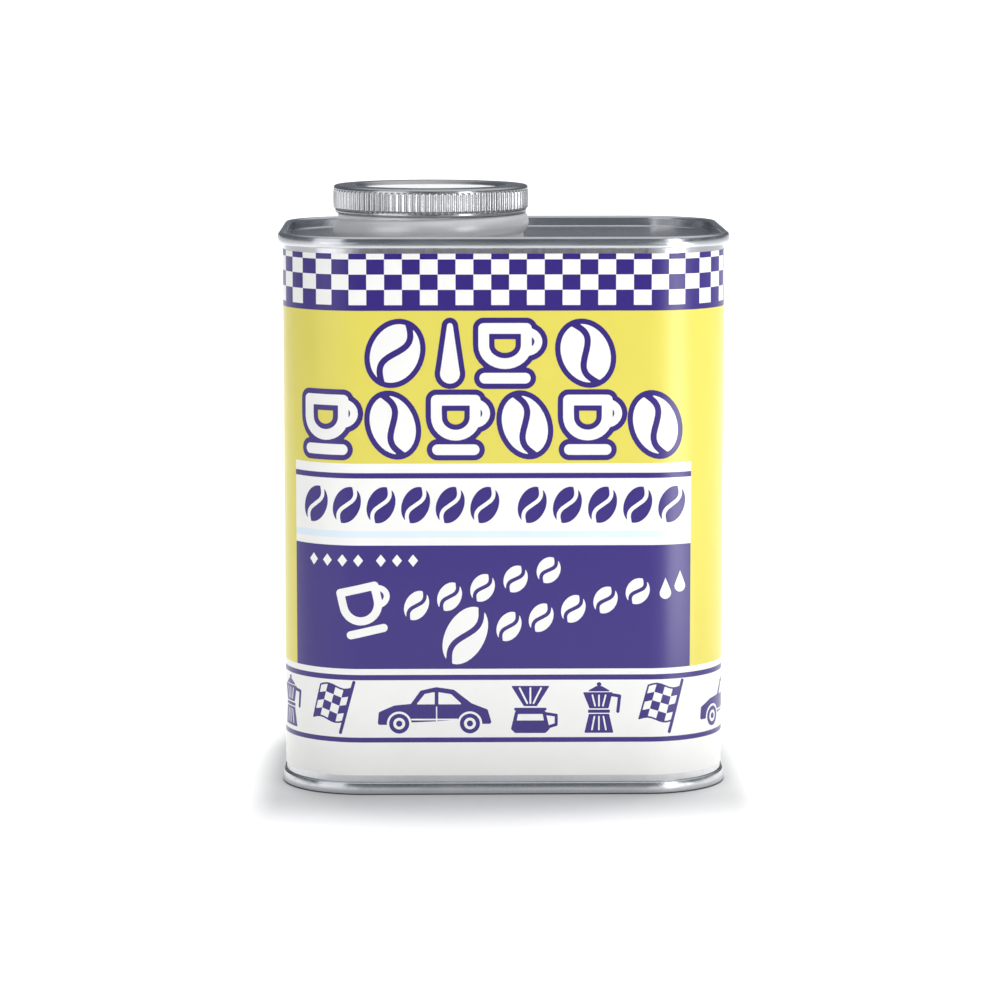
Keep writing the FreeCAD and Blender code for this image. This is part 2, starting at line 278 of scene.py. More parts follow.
def add_piece(name, vertices, faces, materials, body, replaced, indices=None):
    """A new object that rides on a body and stands for a CAD node, from vertices in millimetres."""
    mesh = bpy.data.meshes.new(name)
    mesh.from_pydata([vertex * MM for vertex in vertices], [], faces)
    for material in materials:
        mesh.materials.append(material)
    if indices:
        mesh.polygons.foreach_set("material_index", indices)
    mesh.shade_smooth()
    mesh.set_sharp_from_angle(angle=math.radians(38))
    mesh.validate()
    piece = bpy.data.objects.new(name, mesh)
    bpy.context.scene.collection.objects.link(piece)
    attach(piece, body)
    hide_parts(replaced)


def loft(rows, closed_rows, capped=False):
    """Vertices and faces of rows that each close on themselves; the rows may close too, or be capped."""
    count = len(rows[0])
    vertices = [vertex for row in rows for vertex in row]
    faces = []
    last = len(rows) if closed_rows else len(rows) - 1
    for number in range(last):
        here = number * count
        there = (number + 1) % len(rows) * count
        for column in range(count):
            after = (column + 1) % count
            faces.append((here + column, here + after, there + after, there + column))
    if capped:
        faces.append(tuple(range(count))[::-1])
        faces.append(tuple(range((len(rows) - 1) * count, len(rows) * count)))
    return vertices, faces


def bent_sheet(start, heading, steps):
    """Both faces of a bent sheet as two lists of (x, z), left face first, from its middle line.

    A step that is a number is a straight. A pair is a bend: its radius, and its turn in degrees to the left.
    """
    half = SHEET / 2
    x, z = start
    angle = math.radians(heading)
    line = [(x, z, angle)]
    for step in steps:
        if isinstance(step, tuple):
            radius, degrees = step
            side = math.copysign(radius, degrees)
            centre_x = x - side * math.sin(angle)
            centre_z = z + side * math.cos(angle)
            pieces = max(2, round(abs(degrees) / 11))
            for number in range(1, pieces + 1):
                turned = angle + math.radians(degrees) * number / pieces
                line.append((centre_x + side * math.sin(turned), centre_z - side * math.cos(turned), turned))
            x, z, angle = line[-1]
        else:
            x += step * math.cos(angle)
            z += step * math.sin(angle)
            line.append((x, z, angle))
    left = [(px - half * math.sin(a), pz + half * math.cos(a)) for px, pz, a in line]
    right = [(px + half * math.sin(a), pz - half * math.cos(a)) for px, pz, a in line]
    return left, right


# ---- ends


def end_section(proud, height, recess, arch, bow, bead):
    """Both faces of an end beside the wall, with its rim's crest at z = 0, from the panel to the hook.

    bow is how many degrees the seam's outer face leans at the rim and is tucked in at its foot.
    """
    layer = proud / 3
    flat = 9.0
    panel_z = -recess - SHEET / 2
    inner = -1.5 * SHEET - COUNTERSINK - flat
    steps = []
    if bead:
        slope = math.radians(bead["angle"])
        flat -= 2 * bead["radius"] * math.sin(slope) + bead["straight"] * math.cos(slope)
        panel_z -= 2 * bead["radius"] * (1 - math.cos(slope)) + bead["straight"] * math.sin(slope)
        steps = [(bead["radius"], bead["angle"]), bead["straight"], (bead["radius"], -bead["angle"])]
    tilt, tuck = bow
    face = height - arch - layer - SHEET
    bow_radius = face / math.radians(tilt + tuck)
    bulge = bow_radius * (1 - math.cos(math.radians(tilt)))
    steps += [
        flat,
        (COUNTERSINK, 90),
        recess - COUNTERSINK - arch,
        (arch, -90),
        3 * layer + SHEET - 2 * arch - bulge + arch * (1 - math.cos(math.radians(tilt))),
        (arch, tilt - 90),
        (bow_radius, -tilt - tuck),
        (layer, tuck - 180),
        HOOK,
    ]
    return bent_sheet((inner, panel_z), 0, steps)


def panel_wave(x, y, height):
    """Slow unevenness of a pressed panel, in millimetres."""
    slow = noise.noise(Vector((x * 0.035, y * 0.05, 3.7)))
    quick = noise.noise(Vector((x, y, 9)) * 0.11)
    return height * (slow + 0.4 * quick)


def make_end(name, node, section, crest_z, flip, hole, wave):
    """An end as one sheet, from its hook to the hole in its panel, or to its middle where hole is None."""
    stations = round_stations(3.0, 22)
    centre = Vector((hole[0], 0, 0)) if hole else Vector((0, 0, 0))
    radius = hole[1] if hole else 0.4
    side = -1 if flip else 1
    upper, lower = section
    shares = [1 - (number / 14) ** 1.1 for number in range(14)]
    rows = []

    def add_row(u, z, share):
        row = []
        for s in stations:
            point, out = on_tin(s, u)
            if share:
                away = point - centre
                rim = centre + away.normalized() * radius
                fade = math.sin(math.pi * share) ** 0.7 if share < 1 else 0
                point = point.lerp(rim, share)
                point.z = crest_z + side * (z + panel_wave(point.x, point.y, wave) * fade)
            else:
                point.z = crest_z + side * z
                swell = 0.012 * noise.noise(Vector((s * 0.09, z, crest_z)))
                point += out * (swell if u > 0 else 0)
            row.append(point)
        rows.append(row)

    for share in shares:
        add_row(upper[0][0], upper[0][1], share)
    for u, z in upper:
        add_row(u, z, 0)
    for u, z in reversed(lower):
        add_row(u, z, 0)
    for share in reversed(shares):
        add_row(lower[0][0], lower[0][1], share)
    vertices, faces = loft(rows, closed_rows=bool(hole), capped=not hole)
    if not flip:
        faces = [face[::-1] for face in faces]
    add_piece(name, vertices, faces, [TINPLATE_ENDS], "tin", node)


def make_ends():
    neck_radius = 23.25
    top = end_section(TOP_PROUD, TOP_SEAM_HEIGHT, TOP_RECESS, TOP_ARCH, TOP_BOW, None)
    make_end("top_end_sheet", "top_end", top, TOP_HIGH.z, False, (CAP_X, neck_radius), 0.10)
    bead = {"radius": 1.0, "angle": 40.0, "straight": 0.6}
    base = end_section(BASE_PROUD, BASE_SEAM_HEIGHT, BASE_RECESS, BASE_ARCH, BASE_BOW, bead)
    make_end("bottom_end_sheet", "bottom_end", base, BASE_LOW.z, True, None, 0.08)


# ---- neck

NECK_WAIST = 23.15
NECK_ROOT = 22.1
COLLAR_PROUD = 1.3
COLLAR_UP = 2.9
COLLAR_DOWN = 2.3
COLLAR_FRONT_Z = 135.95
SHOULDER_Z = 139.6
LIP_CURL = 0.75


def smooth_step(value, start, end):
    share = min(1, max(0, (value - start) / (end - start)))
    return share * share * (3 - 2 * share)


def collar_swell(z, turn):
    """How far the collar stands out of the waist. It is a bead that winds up with the thread.

    turn is in degrees about the cap's axis from +X, and the bead runs out at the back of the tin.
    """
    swell = 0
    for whole in (0, 360):
        wound = turn + whole - 270
        if not -195 < wound < 195:
            continue
        middle = COLLAR_FRONT_Z + THREAD_PITCH * wound / 360
        away = z - middle
        reach = COLLAR_UP if away > 0 else COLLAR_DOWN
        strength = smooth_step(wound, -195, -150) * smooth_step(-wound, -195, -150)
        bulge = max(0, 1 - (away / reach) ** 2) ** 0.85
        swell = max(swell, COLLAR_PROUD * strength * bulge)
    return swell


def ridge_swell(z, turn, start_z, start_turn, turns, height, half_width):
    """Height of a helical thread ridge at a place on a round wall. It fades in and out at its ends."""
    swell = 0
    for whole in range(-1, 3):
        wound = turn - start_turn + 360 * whole
        if not 0 <= wound <= 360 * turns:
            continue
        away = abs(z - start_z - THREAD_PITCH * wound / 360)
        ends = smooth_step(wound, 0, 12) * smooth_step(360 * turns - wound, 0, 12)
        swell = max(swell, height * ends * smooth_step(half_width - away, 0, half_width * 0.75))
    return swell


def neck_swell(z, turn):
    """How far the collar or the rolled thread stands out of the neck."""
    if z > SHOULDER_Z:
        return ridge_swell(z, turn, 140.3, 0, 0.6, 0.65, 0.6)
    return collar_swell(z, turn)


def ring(columns, radius, z, swell=None):
    """Points round the cap's axis. swell is a function of z and the turn in degrees, added to the radius."""
    row = []
    for column in range(columns):
        turn = 360 * column / columns
        away = radius + (swell(z, turn) if swell else 0)
        angle = math.radians(turn)
        row.append(Vector((CAP_X + away * math.cos(angle), away * math.sin(angle), z)))
    return row


def make_neck():
    """Flange, collar, waist, rolled thread and curled lip, as one sheet turned about the cap's axis."""
    columns = 288
    panel_z = TOP_HIGH.z - TOP_RECESS
    flange_z = panel_z - SHEET - 0.3 - SHEET
    flange = NECK_WAIST + 2.5
    profile = [(flange, flange_z), (NECK_WAIST + 0.5, flange_z), (NECK_WAIST + 0.1, flange_z + 0.15)]
    heights = [panel_z - 0.3 + 0.17 * number for number in range(39)]
    profile += [(NECK_WAIST, z) for z in heights if z < SHOULDER_Z - 0.4]
    profile += [(NECK_WAIST - 0.25, SHOULDER_Z - 0.1), (NECK_ROOT + 0.2, SHOULDER_Z + 0.1)]
    lip_z = NECK_HIGH.z - SHEET / 2 - LIP_CURL
    thread_z = SHOULDER_Z + 0.3
    profile += [(NECK_ROOT, thread_z + (lip_z - thread_z) * number / 24) for number in range(25)]
    rows = [ring(columns, radius, z, neck_swell) for radius, z in profile]
    curl = [math.radians(15 * number) for number in range(1, 19)]
    middle = NECK_ROOT - SHEET / 2 - LIP_CURL
    for reach, turns in ((LIP_CURL + SHEET / 2, curl), (LIP_CURL - SHEET / 2, curl[::-1])):
        for turn in turns:
            rows.append(ring(columns, middle + reach * math.cos(turn), lip_z + reach * math.sin(turn)))
    rows += [ring(columns, radius - SHEET, z, neck_swell) for radius, z in reversed(profile[3:])]
    rows.append(ring(columns, NECK_WAIST - SHEET, flange_z - SHEET + 0.3))
    rows.append(ring(columns, NECK_WAIST, flange_z - SHEET))
    rows.append(ring(columns, flange, flange_z - SHEET))
    vertices, faces = loft(rows, closed_rows=True)
    # The neck's whitened material is partly painted light
    add_piece("neck_sheet", vertices, faces, [TINPLATE_NECK_SATIN_AND_PAINTED_LIGHT], "tin", "neck")


# ---- cap

KNURLS = 96
KNURL_DEPTH = 0.42
KNURL_SHARE = 0.36
KNURL_LOW = 140.75
KNURL_HIGH = 145.35
SKIRT = 23.88
CAP_SHEET = 0.28
CAP_PANEL = 18.3
CAP_RING_DROP = 0.95
CAP_EDGE = 0.75
CAP_HEM = 0.3
CAP_THREAD_ROOT = 23.5
CAP_THREAD_LOW = 140.1
CAP_THREAD_HIGH = 143.9


def flute_swell(z, turn):
    """How far the knurled wall is sunk in at a place, as a negative number.

    A flute is hollow in the middle, has a round top end, and runs out at its foot.
    """
    pitch = 2 * math.pi * CAP_RADIUS / KNURLS
    across = turn * KNURLS / 360 % 1
    reach = KNURL_SHARE * pitch
    over = z - (KNURL_HIGH - reach)
    if over > 0:
        reach *= math.sqrt(max(0, 1 - (over / reach) ** 2))
    if reach <= 0:
        return 0
    away = min(across, 1 - across) * pitch / reach
    hollow = (1 - away ** 2) ** 0.8 if away < 1 else 0
    foot = smooth_step(z, KNURL_LOW - 0.6, KNURL_LOW + 0.1)
    return -KNURL_DEPTH * hollow * foot * smooth_step(reach, 0, 0.3)


def cap_thread_swell(z, turn):
    """How far the cap's thread stands in from its wall, as a negative number."""
    if not CAP_THREAD_LOW < z < CAP_THREAD_HIGH:
        return 0
    return -ridge_swell(z, turn, 140.6, 180 + 360 * 0.3 / THREAD_PITCH, 0.52, 1.1, 0.6)


def cap_outside():
    """Outer profile of the cap from the middle of its sunk panel to its hem, as (radius, z, is knurled)."""
    top = CAP_HIGH.z
    panel_z = top - CAP_RING_DROP
    profile = [(CAP_PANEL * share, panel_z, False) for share in (0.02, 0.3, 0.6, 0.85, 0.97)]
    for number in range(7):
        share = smooth_step(number, 0, 6)
        profile.append((CAP_PANEL + 0.1 * number, panel_z + CAP_RING_DROP * share, False))
    profile += [(CAP_PANEL + 1.2, top - 0.02, False), (CAP_PANEL + 2.4, top, False)]
    profile += [(CAP_RADIUS - 2.2, top - 0.02, False)]
    for number in range(9):
        turn = math.radians(90) * number / 8
        radius = CAP_RADIUS - 0.05 - CAP_EDGE * (1 - math.sin(turn))
        profile.append((radius, top - 0.03 - CAP_EDGE * (1 - math.cos(turn)), True))
    rows = 30
    start = top - 0.03 - CAP_EDGE
    for number in range(1, rows + 1):
        z = start + (KNURL_LOW - start) * number / rows
        bow = 0.05 * math.sin(math.pi * number / rows)
        profile.append((CAP_RADIUS - 0.05 + bow, z, True))
    for number in range(1, 7):
        share = smooth_step(number, 0, 6)
        radius = CAP_RADIUS - 0.05 + (SKIRT - CAP_RADIUS) * share
        profile.append((radius, KNURL_LOW - 0.06 * number, True))
    for z in (140.2, 140.0, 139.85):
        profile.append((SKIRT + 0.06 * (140.35 - z), z, False))
    return profile


def make_cap():
    """The cap as one closed skin: sunk top, knurled wall, hem, and inside with its thread."""
    columns = KNURLS * 12
    rows = []
    for radius, z, knurled in cap_outside():
        rows.append(ring(columns, radius, z, flute_swell if knurled else None))
    for number in range(9):
        turn = math.radians(180) * number / 8
        radius = SKIRT + 0.03 - CAP_HEM * (1 - math.cos(turn))
        rows.append(ring(columns, radius, CAP_LOW.z + CAP_HEM * (1 - math.sin(turn))))
    for z in np.linspace(CAP_THREAD_LOW, CAP_THREAD_HIGH, 26):
        rows.append(ring(columns, CAP_THREAD_ROOT, z, cap_thread_swell))
    under = CAP_HIGH.z - CAP_RING_DROP - CAP_SHEET
    for radius in (CAP_THREAD_ROOT, CAP_THREAD_ROOT - 3, CAP_PANEL * 0.5, 0.4):
        rows.append(ring(columns, radius, under))
    vertices, faces = loft(rows, closed_rows=False, capped=True)
    faces = [face[::-1] for face in faces]
    face_top = CAP_HIGH.z - CAP_RING_DROP + 0.01
    indices = []
    for number, face in enumerate(faces):
        on_face = number < 5 * columns and max(vertices[corner].z for corner in face) < face_top
        indices.append(int(on_face))
    # The last face but one closes the middle of the sunk panel
    indices[-2] = 1
    # The sunk panel takes the near-white face material, which is partly painted light
    materials = [TINPLATE_CAP, CAP_FACE_SATIN_AND_PAINTED_LIGHT]
    add_piece("cap_sheet", vertices, faces, materials, "cap", "cap_shell", indices)


# ---- flat shapes for the print
#
# A shape is a function of (x, z) arrays that gives the distance outside its edge, negative inside.


def disc(x, z, radius):
    return lambda px, pz: np.hypot(px - x, pz - z) - radius


def along_segment(px, pz, start, end):
    """Distance from points to a segment."""
    run = np.subtract(end, start)
    length = max(float(run @ run), 1e-12)
    share = np.clip(((px - start[0]) * run[0] + (pz - start[1]) * run[1]) / length, 0, 1)
    return np.hypot(px - start[0] - share * run[0], pz - start[1] - share * run[1])


def stroke(points, width):
    """A line of constant width with round ends."""
    segments = list(zip(points, points[1:]))
    return lambda px, pz: np.minimum.reduce([along_segment(px, pz, a, b) for a, b in segments]) - width / 2


def filled(points, rounding=0):
    """The inside of a closed outline, with its corners rounded."""
    closed = list(zip(points, points[1:] + points[:1]))

    def distance(px, pz):
        away = np.minimum.reduce([along_segment(px, pz, a, b) for a, b in closed])
        crossings = np.zeros(px.shape, bool)
        for (ax, az), (bx, bz) in closed:
            straddles = (az > pz) != (bz > pz)
            rise = bz - az if bz != az else 1e-12
            crossings ^= straddles & (px < (bx - ax) * (pz - az) / rise + ax)
        return np.where(crossings, -away, away) - rounding

    return distance


def union(*shapes):
    return lambda px, pz: np.minimum.reduce([shape(px, pz) for shape in shapes])


def cut(shape, *holes):
    return lambda px, pz: np.maximum.reduce([shape(px, pz)] + [-hole(px, pz) for hole in holes])


def grown(shape, by):
    return lambda px, pz: shape(px, pz) - by


def moved(shape, x, z, turn=0):
    """A shape turned by some degrees and moved."""
    cosine, sine = math.cos(math.radians(turn)), math.sin(math.radians(turn))

    def distance(px, pz):
        dx, dz = px - x, pz - z
        return shape(dx * cosine + dz * sine, dz * cosine - dx * sine)

    return distance


def oval(width, height):
    """Outline of an oval about the origin."""
    turns = [2 * math.pi * number / 40 for number in range(40)]
    return [(width / 2 * math.cos(turn), height / 2 * math.sin(turn)) for turn in turns]


LONGEST_STRAIGHT = 1.5


def contour(shape, low, high, step):
    """Closed outlines of a shape inside a box, as lists of (x, z), with the inside on their left."""
    xs = np.arange(low[0] - 2 * step, high[0] + 3 * step, step)
    zs = np.arange(low[1] - 2 * step, high[1] + 3 * step, step)
    field = shape(*np.meshgrid(xs, zs, indexing="ij"))
    inside = field < 0
    same = (inside[:-1, :-1] == inside[1:, :-1]) & (inside[:-1, :-1] == inside[1:, 1:])
    same &= inside[:-1, :-1] == inside[:-1, 1:]
    follows = {}
    places = {}

    def crossing(a, b):
        share = field[a] / (field[a] - field[b])
        place = (xs[a[0]] + share * (xs[b[0]] - xs[a[0]]), zs[a[1]] + share * (zs[b[1]] - zs[a[1]]))
        key = (min(a, b), max(a, b))
        places[key] = place
        return key

    for i, j in np.argwhere(~same).tolist():
        corners = [(i, j), (i + 1, j), (i + 1, j + 1), (i, j + 1)]
        edges = [(corners[k], corners[(k + 1) % 4]) for k in range(4)]
        for k, (a, b) in enumerate(edges):
            if inside[a] and not inside[b]:
                back = k
                while inside[edges[back][0]] or not inside[edges[back][1]]:
                    back = (back - 1) % 4
                follows[crossing(a, b)] = crossing(*edges[back])
    loops = []
    while follows:
        first, key = follows.popitem()
        loop = [places[first]]
        while key != first:
            loop.append(places[key])
            key = follows.pop(key)
        loops.append(thinned(loop, step * 0.08))
    return loops


def thinned(loop, tolerance):
    """A loop without the points that lie on the line between their kept neighbours."""
    kept = [loop[0]]
    for (x, z), after in zip(loop[1:], loop[2:] + loop[:1]):
        last_x, last_z = kept[-1]
        run_x, run_z = after[0] - last_x, after[1] - last_z
        length = math.hypot(run_x, run_z) or 1e-9
        off = abs((x - last_x) * run_z - (z - last_z) * run_x) / length
        if off > tolerance or length > LONGEST_STRAIGHT:
            kept.append((x, z))
    return kept


# ---- the wrap and its print

INK_STEP = 0.012
UNDER_INK = 0.004
CORNER_STEPS = 24
# Half the width of the step down at the wrap's end, over the lap
END_STEP = 0.002


def lap_lift(s):
    """How far the wrap stands off at s, where its end lies over its start."""
    return (PAPER + 0.01) * smooth_step(s, ROUND / 2 - LAP / 2 - LAP_RAMP, ROUND / 2 - LAP / 2)


def on_wrap(s, height):
    """The point at a height above the wrap's face at s, and the outward direction. s may run past the lap."""
    if s > ROUND / 2 + LAP / 2:
        s -= ROUND
    lift = lap_lift(s)
    if s > ROUND / 2:
        s -= ROUND
    return on_tin(s, PAPER + lift + height)


def bend_lines(low, high):
    """Places between low and high where the wrap bends, so that a flat shape has to be divided there."""
    lines = []
    step = QUARTER / CORNER_STEPS
    first_corner = FLAT_X
    second_corner = FLAT_X + QUARTER + 2 * FLAT_Y
    for whole in (-ROUND, 0, ROUND):
        for corner in (first_corner, second_corner, -first_corner - QUARTER, -second_corner - QUARTER):
            lines += [whole + corner + step * number for number in range(CORNER_STEPS + 1)]
    ramp = ROUND / 2 - LAP / 2
    wrap_end = ROUND / 2 + LAP / 2
    lines += [ramp - LAP_RAMP, ramp - LAP_RAMP / 2, ramp, wrap_end - END_STEP, wrap_end + END_STEP]
    return sorted(line for line in lines if low < line < high)


def print_shape(name, shape, low, high, ink, layer=1, step=0.11):
    """Prints a shape on the wrap, inside the box from low to high in (s, z), as a skin of ink.

    layer is 2 where the ink lies on another ink, and step is the pitch of the grid that traces the outline.
    """
    curve = bpy.data.curves.new(name, "CURVE")
    curve.dimensions = "2D"
    curve.fill_mode = "BOTH"
    curve.extrude = 0.5
    for loop in contour(shape, low, high, step):
        spline = curve.splines.new("POLY")
        spline.points.add(len(loop) - 1)
        for point, (x, z) in zip(spline.points, loop):
            point.co = (x, z, 0, 1)
        spline.use_cyclic_u = True
    flat = bpy.data.objects.new(name, curve)
    bpy.context.scene.collection.objects.link(flat)
    graph = bpy.context.evaluated_depsgraph_get()
    mesh = bpy.data.meshes.new_from_object(flat.evaluated_get(graph))
    bpy.data.objects.remove(flat)
    bpy.data.curves.remove(curve)
    work = bmesh.new()
    work.from_mesh(mesh)
    bmesh.ops.remove_doubles(work, verts=work.verts, dist=1e-5)
    for line in bend_lines(low[0], high[0]):
        everything = work.verts[:] + work.edges[:] + work.faces[:]
        bmesh.ops.bisect_plane(work, geom=everything, plane_co=(line, 0, 0), plane_no=(1, 0, 0))
    bmesh.ops.recalc_face_normals(work, faces=work.faces)
    normals = []
    for vertex in work.verts:
        height = INK_STEP * layer if vertex.co.z > 0 else -UNDER_INK
        place, out = on_wrap(vertex.co.x, height)
        place.z = vertex.co.y
        vertex.co = place * MM
        normals.append(out)
    work.to_mesh(mesh)
    work.free()
    mesh.shade_smooth()
    mesh.materials.clear()
    mesh.materials.append(INKS[ink])
    mesh.normals_split_custom_set_from_vertices(normals)
    piece = bpy.data.objects.new(name, mesh)
    bpy.context.scene.collection.objects.link(piece)
    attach(piece, "tin")


CHECK_START = 0.99
CHECK_PITCH = 4.277
PANEL_LEFT = -53.6
PANEL_RIGHT = 45.8
CHECK_ROWS = [131.85, 130.48, 126.86, 123.18, 119.52]
# Bands under the checks: top, bottom, ink between the panel's edges, ink beside the panel
BANDS = [
    (119.52, 118.15, "purple", "purple"),
    (118.15, 81.25, "yellow", "yellow"),
    (81.25, 78.94, "white", "yellow"),
    (78.94, 77.64, "purple", "yellow"),
    (77.64, 64.8, "white", "yellow"),
    (64.8, 63.2, "pale_blue", "yellow"),
    (63.2, 61.3, "white", "yellow"),
    (61.3, 31.0, "purple", "yellow"),
    (31.0, 29.54, "white", "white"),
    (29.54, 28.24, "purple", "purple"),
    (28.24, 14.06, "white", "white"),
    (14.06, 12.85, "purple", "purple"),
    (12.85, 4.67, "white", "white"),
]


def ink_at(s, z):
    """The wrap's ground colour at a place."""
    if z > CHECK_ROWS[-1]:
        row = sum(z < edge for edge in CHECK_ROWS)
        column = math.floor((s - CHECK_START) / CHECK_PITCH)
        return "white" if (row + column) % 2 else "purple"
    half = ROUND / 2
    inside = any(PANEL_LEFT + whole < s < PANEL_RIGHT + whole for whole in (-half, 0, half))
    for top, bottom, in_panel, beside in BANDS:
        if bottom < z <= top:
            return in_panel if inside else beside
    return "white"


def make_wrap():
    """The printed wrap: one strip of paper whose end lies over its start at the back."""
    start = -ROUND / 2 - LAP / 2
    end = ROUND / 2 + LAP / 2
    half = ROUND / 2
    edges = {start, -ROUND / 2 + LAP / 2, end - LAP - LAP_RAMP, end - LAP, end}
    for whole in (-half, 0, half):
        edges |= {PANEL_LEFT + whole, PANEL_RIGHT + whole}
    first = math.ceil((start - CHECK_START) / CHECK_PITCH)
    last = math.floor((end - CHECK_START) / CHECK_PITCH)
    edges |= {CHECK_START + CHECK_PITCH * number for number in range(first, last + 1)}
    edges |= set(bend_lines(start, end))
    ordered = []
    for s in sorted(s for s in edges if start <= s <= end):
        if not ordered or s - ordered[-1] > 0.05:
            ordered.append(s)
    heights = sorted({band[0] for band in BANDS} | {BANDS[-1][1]} | set(CHECK_ROWS))
    heights[0] = WRAP_LOW.z
    heights[-1] = WRAP_HIGH.z
    columns = len(ordered)
    vertices = []
    for face_height in (0, -PAPER):
        for z in heights:
            for s in ordered:
                lift = lap_lift(s)
                wound = s - ROUND if s > ROUND / 2 else s
                wound = s + ROUND if s < -ROUND / 2 else wound
                place = on_tin(wound, PAPER + lift + face_height)[0]
                place.z = z
                vertices.append(place)
    inks = list(INKS)
    faces = []
    indices = []
    inner = len(heights) * columns
    for row in range(len(heights) - 1):
        for column in range(columns - 1):
            a = row * columns + column
            b, c, d = a + 1, a + 1 + columns, a + columns
            middle_s = (ordered[column] + ordered[column + 1]) / 2
            middle_z = (heights[row] + heights[row + 1]) / 2
            faces.append((a, b, c, d))
            indices.append(inks.index(ink_at(middle_s, middle_z)))
            faces.append((inner + d, inner + c, inner + b, inner + a))
            indices.append(inks.index("white"))
    top = (len(heights) - 1) * columns
    for column in range(columns - 1):
        faces.append((column + 1, column, inner + column, inner + column + 1))
        faces.append((top + column, top + column + 1, inner + top + column + 1, inner + top + column))
    for row in range(len(heights) - 1):
        a, d = row * columns, (row + 1) * columns
        faces.append((a, d, inner + d, inner + a))
        b, c = a + columns - 1, d + columns - 1
        faces.append((c, b, inner + b, inner + c))
    indices += [inks.index("white")] * (len(faces) - len(indices))
    materials = [INKS[ink] for ink in inks]
    add_piece("wrap_paper", vertices, faces, materials, "tin", "label_wrap", indices)


# ---- motifs

TITLE_LINE = 2.6
TITLE_OUTLINE = 1.3
TITLE_HEIGHT = 14.6


def crease(width, height, line):
    """The S-shaped crease of a bean that stands on its end."""
    points = []
    for number in range(25):
        share = number / 24
        points.append((-0.17 * width * math.sin(2 * math.pi * share), 1.08 * height * (share - 0.5)))
    return stroke(points, line)


def bean(width, height, line):
    """A solid bean with its crease cut out."""
    return cut(filled(oval(width, height)), crease(width, height, line))


def cup_outline(width, height, line):
    """A cup drawn with thick lines: bowl, handle and saucer."""
    left = -width / 2 + line / 2
    right = width / 2 - width * 0.24
    middle = (left + right) / 2
    top = height / 2 - line / 2
    foot = -height / 2 + line / 2
    deep = top - height * 0.28
    bowl = [(left, top)]
    for number in range(17):
        turn = math.pi + math.pi * number / 16
        z = deep + (deep - foot - line * 1.35) * math.sin(turn)
        bowl.append((middle + (right - left) / 2 * math.cos(turn), z))
    bowl += [(right, top), (left, top)]
    handle = []
    for number in range(13):
        turn = math.radians(-90 + 180 * number / 12)
        z = top - height * 0.22 + height * 0.17 * math.sin(turn)
        handle.append((right + width * 0.19 * math.cos(turn), z))
    saucer = [(left + line * 0.1, foot), (right - line * 0.1, foot)]
    return union(stroke(bowl, line), stroke(handle, line * 0.72), stroke(saucer, line))


def drop(width, height):
    """A drop with its point up."""
    radius = width / 2
    low = -height / 2 + radius
    points = [(0, height / 2)]
    for number in range(15):
        turn = math.radians(20 - 220 * number / 14)
        points.append((radius * math.cos(turn), low + radius * math.sin(turn)))
    return filled(points)


def title_motif(kind, width, height):
    """The white part of a title motif and the shape that its outline follows."""
    if kind == "cup":
        drawing = cup_outline(width, height, TITLE_LINE)
        return drawing, drawing
    if kind == "bean":
        whole = filled(oval(width, height))
        return cut(whole, crease(width, height, 1.5)), whole
    drawing = grown(drop(width - 1.4, height - 1.4), 0.7)
    return drawing, drawing


def print_title(shift):
    """Two rows of outlined motifs: beans, cups and a drop."""
    upper = [
        ("bean", -26.4, 11.6, -24),
        ("drop", -13.2, 4.8, 0),
        ("cup", 1.2, 15.2, 0),
        ("bean", 19.4, 11.6, 24),
    ]
    lower = [
        ("cup", -42.6, 14.0, 0),
        ("bean", -27.0, 10.6, 20),
        ("cup", -10.8, 14.0, 0),
        ("bean", 4.8, 10.6, 20),
        ("cup", 21.0, 14.0, 0),
        ("bean", 36.4, 10.6, 20),
    ]
    back = "_back" if shift else ""
    reach_z = TITLE_HEIGHT / 2 + 3
    for row_name, row, middle_z in (("upper", upper, 107.9), ("lower", lower, 90.6)):
        for number, (kind, s, width, tilt) in enumerate(row):
            white, whole = title_motif(kind, width, TITLE_HEIGHT)
            s += shift
            low = (s - width / 2 - 4, middle_z - reach_z)
            high = (s + width / 2 + 4, middle_z + reach_z)
            name = f"title_{row_name}_{number + 1}{back}"
            outline = moved(grown(whole, TITLE_OUTLINE), s, middle_z, tilt)
            print_shape(name + "_outline", outline, low, high, "purple", 1, 0.16)
            print_shape(name, moved(white, s, middle_z, tilt), low, high, "white", 2, 0.16)


def print_bean_row(shift):
    """A row of solid beans on the white band, in two groups."""
    middle_z = 71.15
    back = "_back" if shift else ""
    places = [-46.6 + 8.35 * number for number in range(6)] + [6.6 + 8.5 * number for number in range(5)]
    for number, place in enumerate(places):
        s = place + shift
        shape = moved(bean(6.6, 9.2, 0.95), s, middle_z, -22)
        low, high = (s - 5, middle_z - 6), (s + 5, middle_z + 6)
        print_shape(f"band_bean_{number + 1}{back}", shape, low, high, "purple")


